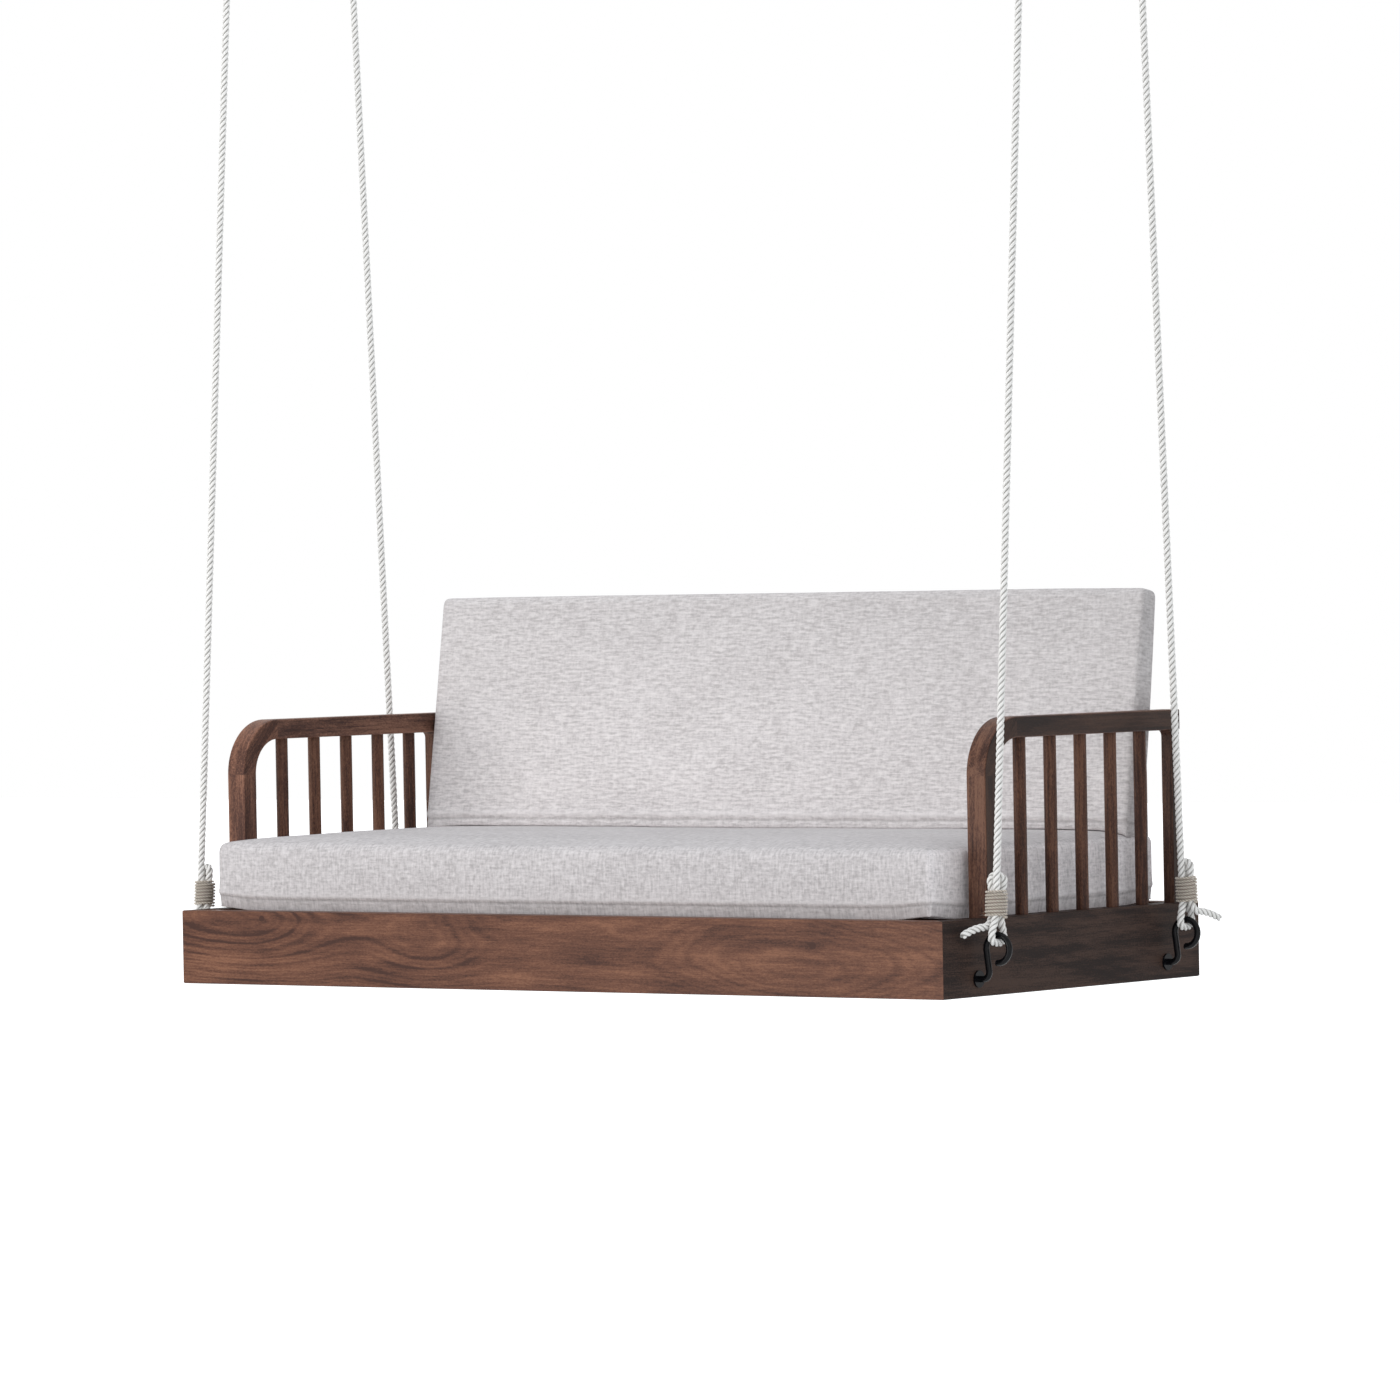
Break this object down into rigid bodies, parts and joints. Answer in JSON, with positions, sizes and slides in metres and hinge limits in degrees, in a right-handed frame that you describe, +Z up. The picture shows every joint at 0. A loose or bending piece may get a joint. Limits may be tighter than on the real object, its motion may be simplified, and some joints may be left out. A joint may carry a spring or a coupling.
{
  "type": "hanging swing seat",
  "caption": "Wooden hanging swing seat with slatted deck, curved spindle arms, grey seat and back cushions, on white ropes tied to black steel hooks.",
  "frame": {"origin": "on the ceiling, in the middle of the four ceiling eyes", "axes": "+Z up, X along the seat, -Y towards the front of the seat"},
  "size_m": [1.654, 0.7, 1.791],
  "materials": {
    "dark_wood": "oiled dark reddish brown hardwood",
    "grey_fabric": "light grey woven upholstery cloth",
    "cotton_rope": "white twisted three-strand rope",
    "jute_twine": "plain jute twine",
    "black_steel": "black painted steel",
    "zinc_steel": "zinc plated steel"
  },
  "bodies": {
    "ceiling": {"front_left_ceiling_eye": "black_steel", "front_right_ceiling_eye": "black_steel", "rear_left_ceiling_eye": "black_steel", "rear_right_ceiling_eye": "black_steel"},
    "front_ropes": {"front_left_rope": "cotton_rope", "front_right_rope": "cotton_rope", "front_lower_lashings": "jute_twine", "front_upper_lashings": "jute_twine"},
    "rear_ropes": {"rear_left_rope": "cotton_rope", "rear_right_rope": "cotton_rope", "rear_lower_lashings": "jute_twine", "rear_upper_lashings": "jute_twine"},
    "seat": {"front_rail": "dark_wood", "rear_rail": "dark_wood", "left_rail": "dark_wood", "right_rail": "dark_wood", "corner_blocks": "dark_wood", "front_ledger": "dark_wood", "rear_ledger": "dark_wood", "centre_bearer": "dark_wood", "seat_slat_1": "dark_wood", "seat_slat_2": "dark_wood", "seat_slat_3": "dark_wood", "seat_slat_4": "dark_wood", "seat_slat_5": "dark_wood", "seat_slat_6": "dark_wood", "seat_slat_7": "dark_wood", "seat_slat_8": "dark_wood", "seat_slat_9": "dark_wood", "slat_screws": "zinc_steel", "left_arm_front_post": "dark_wood", "left_arm_corner": "dark_wood", "left_arm_top_rail": "dark_wood", "left_arm_rear_post": "dark_wood", "left_arm_spindle_1": "dark_wood", "left_arm_spindle_2": "dark_wood", "left_arm_spindle_3": "dark_wood", "left_arm_spindle_4": "dark_wood", "left_arm_spindle_5": "dark_wood", "right_arm_front_post": "dark_wood", "right_arm_corner": "dark_wood", "right_arm_top_rail": "dark_wood", "right_arm_rear_post": "dark_wood", "right_arm_spindle_1": "dark_wood", "right_arm_spindle_2": "dark_wood", "right_arm_spindle_3": "dark_wood", "right_arm_spindle_4": "dark_wood", "right_arm_spindle_5": "dark_wood", "back_post_left": "dark_wood", "back_post_right": "dark_wood", "back_rail": "dark_wood", "back_spindles": "dark_wood", "seat_cushion": "grey_fabric", "back_cushion": "grey_fabric", "front_left_hook": "black_steel", "front_right_hook": "black_steel", "rear_left_hook": "black_steel", "rear_right_hook": "black_steel", "hook_flanges": "black_steel", "hook_nuts": "zinc_steel"}
  },
  "joints": [
    {"name": "front_rope_swing", "type": "hinge", "parent": "ceiling", "child": "front_ropes", "pos_m": [0, -0.155, -0.051], "axis": [1, 0, 0], "range_deg": [-15, 15]},
    {"name": "seat_tilt", "type": "hinge", "parent": "front_ropes", "child": "seat", "pos_m": [0, -0.278, -1.697], "axis": [1, 0, 0], "range_deg": [-9, 9]},
    {"name": "rear_rope_swing", "type": "hinge", "parent": "ceiling", "child": "rear_ropes", "pos_m": [0, 0.155, -0.051], "axis": [1, 0, 0], "range_deg": [-15, 15]}
  ],
  "couplings": [
    {"joint": "seat_tilt", "follows": "front_rope_swing", "ratio": -0.5967},
    {"joint": "rear_rope_swing", "follows": "front_rope_swing", "ratio": 1}
  ]
}
